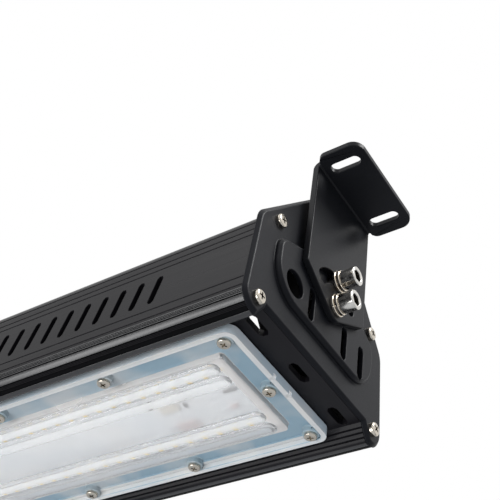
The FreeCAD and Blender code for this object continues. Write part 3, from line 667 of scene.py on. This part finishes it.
lens_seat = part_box("lens_screws")[0].z + LENS_HEAD_HEIGHT
lens_places = [(c.x, c.y, lens_seat) for c in loose_centres("lens_screws")]
lens_turns = [(math.pi, 0, LENS_TURN * i) for i in range(len(lens_places))]
place_heads("lens_screws", pan_head(LENS_HEAD, LENS_HEAD_HEIGHT, LENS_CROSS),
            lens_places, lens_turns)

plate_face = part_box("end_plate_screws")[1].x - PLATE_HEAD_HEIGHT
plate_places, plate_turns = [], []
for centre in loose_centres("end_plate_screws"):
    facing = 1 if centre.x > 0 else -1
    plate_places.append((facing * plate_face, centre.y, centre.z))
    plate_turns.append((0, facing * math.pi / 2, PLATE_TURN * len(plate_places)))
place_heads("end_plate_screws", pan_head(PLATE_HEAD, PLATE_HEAD_HEIGHT, PLATE_CROSS),
            plate_places, plate_turns)
print(len(lens_places), "lens screws and", len(plate_places), "plate screws")

# %% [markdown]
# ## Lens
# A real lens is one moulding. Here its flange, rim, window, bosses and optic bars are simple
# solids that are united, and then all edges are softened so that they catch thin highlights.

# %% Lens moulding


def block(low, high):
    """A box between two corners."""
    centre = (Vector(low) + Vector(high)) / 2
    bpy.ops.mesh.primitive_cube_add(size=1, location=centre)
    box = bpy.context.object
    box.scale = Vector(high) - Vector(low)
    settle(box)
    return box


def rounded_block(half_x, half_y, bottom, top, radius):
    """A box with rounded upright edges."""
    box = block((-half_x, -half_y, bottom), (half_x, half_y, top))
    mesh = box.data

    def upright(edge):
        a, b = (mesh.vertices[i].co for i in edge.vertices)
        return abs(a.z - b.z) > TINY

    pick(box, "EDGE", upright)
    bpy.ops.mesh.bevel(offset=radius, segments=8, affect="EDGES")
    bpy.ops.object.mode_set(mode="OBJECT")
    return box


lens_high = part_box("lens_cover")[1]
half_x, half_y, lens_top = lens_high.x, lens_high.y, lens_high.z
RIM_BOTTOM, STEP_BOTTOM, FLANGE_BOTTOM = 2.0 * MM, 4.3 * MM, 5.2 * MM
RIM, STEP = 2.4 * MM, 2.0 * MM
CORNER, RIM_CORNER, STEP_CORNER = 5 * MM, 2.6 * MM, 1.5 * MM
WINDOW_CORNER, HOLLOW_CORNER = 2 * MM, 1 * MM
WINDOW_X, WINDOW_Y, WINDOW_FACE = 114.5 * MM, 25.8 * MM, 2.4 * MM
WINDOW_WALL, WINDOW_SKIN, OVERLAP = 1.4 * MM, 1.2 * MM, 0.5 * MM
NICKS_Y, NICK_HALF = (-6.4 * MM, 5.4 * MM), 0.9 * MM
NICK_BEHIND, NICK_TOP = 0.3 * MM, STEP_BOTTOM - 0.4 * MM
BOSS_RADIUS, BOSS_DEPTH, BOSS_Z = 3.7 * MM, 3 * MM, 4.1 * MM
BARS_Y = (-21 * MM, -13 * MM, 13 * MM, 21 * MM)
BAR_RADIUS, BAR_HEIGHT, BAR_END = 3.8 * MM, 1.5 * MM, 8 * MM
LENS_ROUNDING = 0.25 * MM

moulding = rounded_block(half_x, half_y, RIM_BOTTOM, lens_top, CORNER)
cut(moulding, rounded_block(half_x - RIM, half_y - RIM, RIM_BOTTOM - PAST, STEP_BOTTOM, RIM_CORNER))
cut(moulding, rounded_block(half_x - RIM - STEP, half_y - RIM - STEP, STEP_BOTTOM - PAST,
                            FLANGE_BOTTOM, STEP_CORNER))
for end in (-1, 1):
    for y in NICKS_Y:
        ends = (end * (half_x + PAST), end * (half_x - RIM - NICK_BEHIND))
        cut(moulding, block((min(ends), y - NICK_HALF, RIM_BOTTOM - PAST),
                            (max(ends), y + NICK_HALF, NICK_TOP)))
cut(moulding, rounded_block(WINDOW_X, WINDOW_Y, WINDOW_FACE, FLANGE_BOTTOM + OVERLAP,
                            WINDOW_CORNER), "UNION")
for x, y, _ in lens_places:
    bpy.ops.mesh.primitive_cylinder_add(vertices=32, radius=BOSS_RADIUS, depth=BOSS_DEPTH,
                                        location=(x, y, BOSS_Z))
    cut(moulding, bpy.context.object, "UNION")
cut(moulding, rounded_block(WINDOW_X - WINDOW_WALL, WINDOW_Y - WINDOW_WALL,
                            WINDOW_FACE + WINDOW_SKIN, lens_top + PAST, HOLLOW_CORNER))
for y in BARS_Y:
    bpy.ops.mesh.primitive_uv_sphere_add(segments=32, ring_count=16, radius=BAR_RADIUS)
    bar = bpy.context.object
    for vertex in bar.data.vertices:
        if abs(vertex.co.x) > TINY:
            vertex.co.x += math.copysign(WINDOW_X - BAR_END, vertex.co.x)
    bar.scale = (1, 1, BAR_HEIGHT / BAR_RADIUS)
    bar.location = (0, y, WINDOW_FACE)
    settle(bar)
    cut(moulding, bar, "UNION")
apply_modifier(moulding, "TRIANGULATE", min_vertices=5)
soften(moulding, LENS_ROUNDING, 2, angle=40, harden=True)
moulding.name = "lens_moulding"

# %% [markdown]
# The moulding is one piece, but its parts look different: the window is clear and frosted in the
# middle, the crest of each bar is painted white as a highlight streak, the walls, flange, rim and
# bosses are milky, and the cut edges are milky and paler as a painted highlight.

# %% Lens finishes
for finish in (window_clear, window_frosted, wall_milky, flange_milky, rim_milky, boss_milky,
               edge_highlight_milky, bar_streak_highlight):
    moulding.data.materials.append(finish)
CLEAR, FROSTED, WALL, FLANGE, RIM_FACE, BOSS, CUT_EDGE, STREAK_HIGHLIGHT = range(8)
FROSTED_Y, STREAK_DEPTH = 8.5 * MM, 1.2 * MM
BOSS_FINISH = BOSS_RADIUS + 0.5 * MM
ROUND_CORNER = 5.1 * MM  # how far the rounded corners reach along the sides
NEAR, INNER_BAND, WALL_BAND, LEVEL_BAND = 0.1 * MM, 0.3 * MM, 0.6 * MM, 0.2 * MM
FACING_UP, UPRIGHT = 0.9, 0.3  # how much of the normal points up


def lens_finish(mesh, face):
    """Which of the lens finishes a face gets, from its place and the way it faces."""
    corners = [mesh.vertices[i].co for i in face.vertices]
    x, y = max(abs(c.x) for c in corners), max(abs(c.y) for c in corners)
    middle_x, middle_y, middle_z = face.center
    # The lowest faces of each bar get the painted highlight streak.
    if middle_z < WINDOW_FACE - STREAK_DEPTH and x < WINDOW_X:
        return STREAK_HIGHLIGHT
    if x < WINDOW_X - INNER_BAND and y < WINDOW_Y - INNER_BAND:
        on_face = middle_z < WINDOW_FACE + LEVEL_BAND
        return FROSTED if abs(middle_y) < FROSTED_Y and on_face else CLEAR
    if x < WINDOW_X + WALL_BAND and y < WINDOW_Y + WALL_BAND:
        return WALL
    if any(math.hypot(middle_x - px, middle_y - py) < BOSS_FINISH for px, py, _ in lens_places):
        return BOSS
    if face.normal.z > FACING_UP:
        return FLANGE
    at_corner = x > half_x - ROUND_CORNER and y > half_y - ROUND_CORNER
    at_side = x > half_x - NEAR or y > half_y - NEAR
    # Upright outer walls get the paler finish as a painted highlight.
    if abs(face.normal.z) < UPRIGHT and (at_corner or at_side):
        return CUT_EDGE
    past_flange = x > half_x - RIM - STEP + NEAR or y > half_y - RIM - STEP + NEAR
    return RIM_FACE if past_flange else FLANGE


for face in moulding.data.polygons:
    face.material_index = lens_finish(moulding.data, face)
ride_as(moulding, "lens_cover")
print("lens moulding has", len(moulding.data.polygons), "faces")

# %% [markdown]
# ## Chips
# A chip is a pale case with a small yellow window. The lower face of every case is inset, and the
# face left in the middle gets the phosphor.

# %% Chip windows
CASE_RIM, CASE_HEIGHT = 0.55 * MM, 0.25 * MM
board_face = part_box("led_board")[0].z
chips = merged_copy("led_chips", "led_chips_lit")
bpy.ops.mesh.dissolve_limited(angle_limit=SAME_PLANE)
pick(chips, "FACE", lambda face: face.normal.z < -FACING_UP)
bpy.ops.mesh.inset(thickness=CASE_RIM, use_individual=True)
bpy.ops.object.mode_set(mode="OBJECT")
chips.data.materials.append(phosphor)
for face in chips.data.polygons:
    face.material_index = 1 if face.select else 0
for vertex in chips.data.vertices:
    vertex.co.z = max(vertex.co.z, board_face - CASE_HEIGHT)
ride_as(chips, "led_chips")
print("chips have", len(chips.data.polygons), "faces")

# %% [markdown]
# ## Small parts on the board
# Between the chip rows the board carries a few flat parts: two pale blocks and some small ones.
# Each is a block with soft edges, resting on the lower face of the board.

# %% Flat board parts
SMALL_ROUNDING = 0.15 * MM
# x, y, length, width and height in mm, and the finish
BOARD_PARTS = ((73, -5, 9, 5, 1.0, beige_plastic), (74, 10, 10, 7, 1.0, pink_plastic),
               (82, -8, 2.4, 1.6, 1.0, part_dark), (81, -4, 1.2, 2.8, 1.0, part_dark),
               (104, -5, 6, 2.2, 0.8, part_dark), (100, 5, 3.2, 2.2, 1.2, pink_plastic),
               (66, -9, 1.6, 1.0, 0.8, part_dark))
for i, (x, y, length, width, height, finish) in enumerate(BOARD_PARTS):
    small = block(((x - length / 2) * MM, (y - width / 2) * MM, board_face - height * MM),
                  ((x + length / 2) * MM, (y + width / 2) * MM, board_face))
    soften(small, SMALL_ROUNDING, 2)
    small.name = "board_part_" + str(i)
    small.data.materials.append(finish)
    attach(small, nodes["led_board"]["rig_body"])

# %% [markdown]
# ## Room, light and camera
# The light hangs in a bright white studio. The floor lies far below it, because the view looks up
# at the lens. Large soft lamps keep the black coats dark and the board behind the lens white.

# %% Floor
FLOOR_SIZE, FLOOR_Z, PAPER_SCALE = 14, -1.6, 3
bpy.ops.mesh.primitive_plane_add(size=FLOOR_SIZE, location=(0, 0, FLOOR_Z))
floor = bpy.context.object
floor.name = "studio_floor"
floor_paint, floor_tree, floor_shader = new_material("studio_paper")
paper = noise(floor_tree, PAPER_SCALE)
paper_colour = between(floor_tree, paper, (0.86, 0.86, 0.86), (0.90, 0.90, 0.90))
floor_tree.links.new(paper_colour, floor_shader.inputs["Base Color"])
set_inputs(floor_shader, Roughness=0.9)
floor.data.materials.append(floor_paint)

# %% [markdown]
# The background is white to the camera, in reflections and through clear parts, and dimmer as a
# source of light.

# %% Background
SKY_COLOUR, SKY_STRENGTH = (0.82, 0.86, 0.92, 1), 0.58
world = bpy.data.worlds.new("studio")
bpy.context.scene.world = world
world.use_nodes = True
sky = world.node_tree
background = sky.nodes["Background"]
background.inputs["Color"].default_value = SKY_COLOUR
background.inputs["Strength"].default_value = SKY_STRENGTH
white = sky.nodes.new("ShaderNodeBackground")
white.inputs["Color"].default_value = (1, 1, 1, 1)
white.inputs["Strength"].default_value = 1.0
ray = sky.nodes.new("ShaderNodeLightPath")
shown = ray.outputs["Is Camera Ray"]
for kind in ("Is Glossy Ray", "Is Transmission Ray"):
    either = sky.nodes.new("ShaderNodeMath")
    either.operation = "MAXIMUM"
    sky.links.new(shown, either.inputs[0])
    sky.links.new(ray.outputs[kind], either.inputs[1])
    shown = either.outputs["Value"]
choice = sky.nodes.new("ShaderNodeMixShader")
sky.links.new(shown, choice.inputs["Fac"])
sky.links.new(background.outputs["Background"], choice.inputs[1])
sky.links.new(white.outputs["Background"], choice.inputs[2])
sky.links.new(choice.outputs["Shader"], sky.nodes["World Output"].inputs["Surface"])

# %% Lamps


def soft_lamp(name, place, target, size, power):
    """A square area lamp aimed at a point."""
    data = bpy.data.lights.new(name, "AREA")
    data.size = size
    data.energy = power
    lamp = bpy.data.objects.new(name, data)
    bpy.context.scene.collection.objects.link(lamp)
    lamp.location = place
    lamp.rotation_euler = (Vector(target) - Vector(place)).to_track_quat("-Z", "Y").to_euler()


soft_lamp("key", (-0.5, -1.3, 1.3), (0, 0, 0.05), size=1.0, power=3)
soft_lamp("fill", (1.4, 0.2, 1.5), (0.1, 0, 0.05), size=0.8, power=34)
soft_lamp("under", (-0.2, -1.2, -0.9), (0.05, 0, 0), size=0.8, power=11)
soft_lamp("ribs", (-1.0, -1.3, -0.7), (0.1, -0.05, 0.01), size=0.5, power=4)

# %% Camera
FOCAL_LENGTH, SENSOR = 69.6, 36
CAMERA_PLACE, CAMERA_TURN = (0.3083, -0.2487, -0.2341), (135.68, -7.17, 33.0)
camera_data = bpy.data.cameras.new("camera")
camera_data.lens = FOCAL_LENGTH
camera_data.sensor_width = SENSOR
camera_data.clip_start = 0.01
camera = bpy.data.objects.new("camera", camera_data)
bpy.context.scene.collection.objects.link(camera)
camera.location = CAMERA_PLACE
camera.rotation_euler = [math.radians(a) for a in CAMERA_TURN]
bpy.context.scene.camera = camera
bpy.context.scene.view_settings.view_transform = "Standard"
